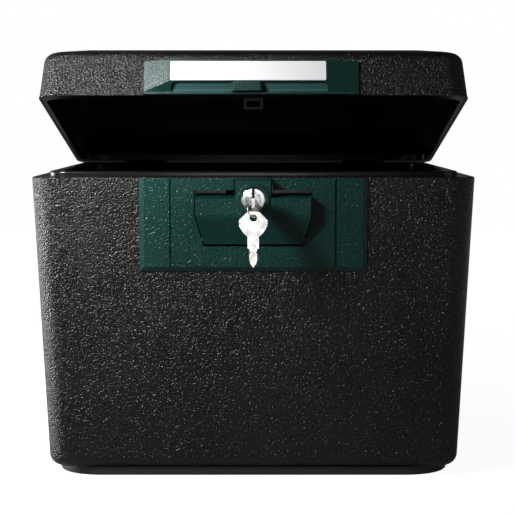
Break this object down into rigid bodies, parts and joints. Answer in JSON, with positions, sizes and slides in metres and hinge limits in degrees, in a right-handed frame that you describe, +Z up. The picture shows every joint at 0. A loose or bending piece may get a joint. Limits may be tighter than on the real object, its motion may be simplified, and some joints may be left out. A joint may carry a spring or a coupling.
{
  "type": "document safe",
  "caption": "Fire-resistant document safe: insulated box for hanging files with a lift-up lid, a pull paddle latch, a cam lock and keys.",
  "frame": {"origin": "centre of the underside of the base, on the floor", "axes": "+X to the right as seen from the front, +Y to the back where the hinges are, +Z up; the front faces -Y"},
  "size_m": [0.3898, 0.4057, 0.3793],
  "materials": {
    "shell_plastic": "fine moulded stipple",
    "liner_plastic": "smooth, soft sheen",
    "base_plastic": "smooth",
    "mineral_fill": "cast lightweight mineral",
    "panel_plastic": "fine moulded stipple",
    "label_plastic": "semi-gloss",
    "lock_chrome": "bright plated",
    "lock_brass": "turned",
    "key_steel": "nickel plated",
    "zinc_steel": "zinc plated",
    "black_steel": "black",
    "spring_steel": "drawn wire"
  },
  "bodies": {
    "body": {"body_shell": "shell_plastic", "latch_pocket": "liner_plastic", "body_liner": "liner_plastic", "body_insulation": "mineral_fill", "base_cover": "base_plastic", "base_screws": "zinc_steel", "body_panel": "panel_plastic", "latch_pin": "zinc_steel", "cam_keeper": "black_steel", "keeper_screw": "black_steel", "hinge_body_leaf_left": "black_steel", "hinge_body_leaf_right": "black_steel", "hinge_pin_left": "zinc_steel", "hinge_pin_right": "zinc_steel", "body_leaf_screws": "black_steel"},
    "lid": {"lid_shell": "shell_plastic", "lid_liner": "liner_plastic", "lid_insulation": "mineral_fill", "lid_panel": "panel_plastic", "label_plate": "label_plastic", "lid_strike": "black_steel", "strike_screws": "zinc_steel", "hinge_lid_leaf_left": "black_steel", "hinge_lid_leaf_right": "black_steel", "lid_leaf_screws": "black_steel"},
    "latch_paddle": {"latch_paddle": "panel_plastic", "latch_springs": "spring_steel", "lock_housing": "lock_chrome", "lock_nut": "lock_brass"},
    "lock_plug": {"lock_plug": "lock_chrome", "lock_wafers": "lock_brass", "lock_cam": "zinc_steel", "cam_screw": "zinc_steel"},
    "key": {"key_in_lock": "key_steel"},
    "split_ring": {"split_ring": "key_steel"},
    "spare_key": {"spare_key": "key_steel"}
  },
  "joints": [
    {"name": "lid_hinge", "type": "hinge", "parent": "body", "child": "lid", "pos_m": [0, 0.1785, 0.2674], "axis": [-1, 0, 0], "range_deg": [-11.85, 80]},
    {"name": "latch_pull", "type": "hinge", "parent": "body", "child": "latch_paddle", "pos_m": [0, -0.16696, 0.2126], "axis": [1, 0, 0], "range_deg": [0, 14], "stiffness_Nm_per_rad": 0.6, "springref_deg": -17.19},
    {"name": "lock_turn", "type": "hinge", "parent": "latch_paddle", "child": "lock_plug", "pos_m": [0, -0.18765, 0.24858], "axis": [0, -0.9989, -0.0462], "range_deg": [-90, 0]},
    {"name": "key_slide", "type": "slide", "parent": "lock_plug", "child": "key", "axis": [0, -0.9989, -0.0462], "range_m": [0, 0.03]},
    {"name": "key_ring_swing", "type": "hinge", "parent": "key", "child": "split_ring", "pos_m": [-0.00167, -0.21577, 0.24734], "axis": [-0.6691, -0.7431, 0], "range_deg": [-5, 10]},
    {"name": "spare_key_swing", "type": "hinge", "parent": "split_ring", "child": "spare_key", "pos_m": [0.00087, -0.21806, 0.23542], "axis": [-0.6691, -0.7431, 0], "range_deg": [-15, 15]}
  ]
}
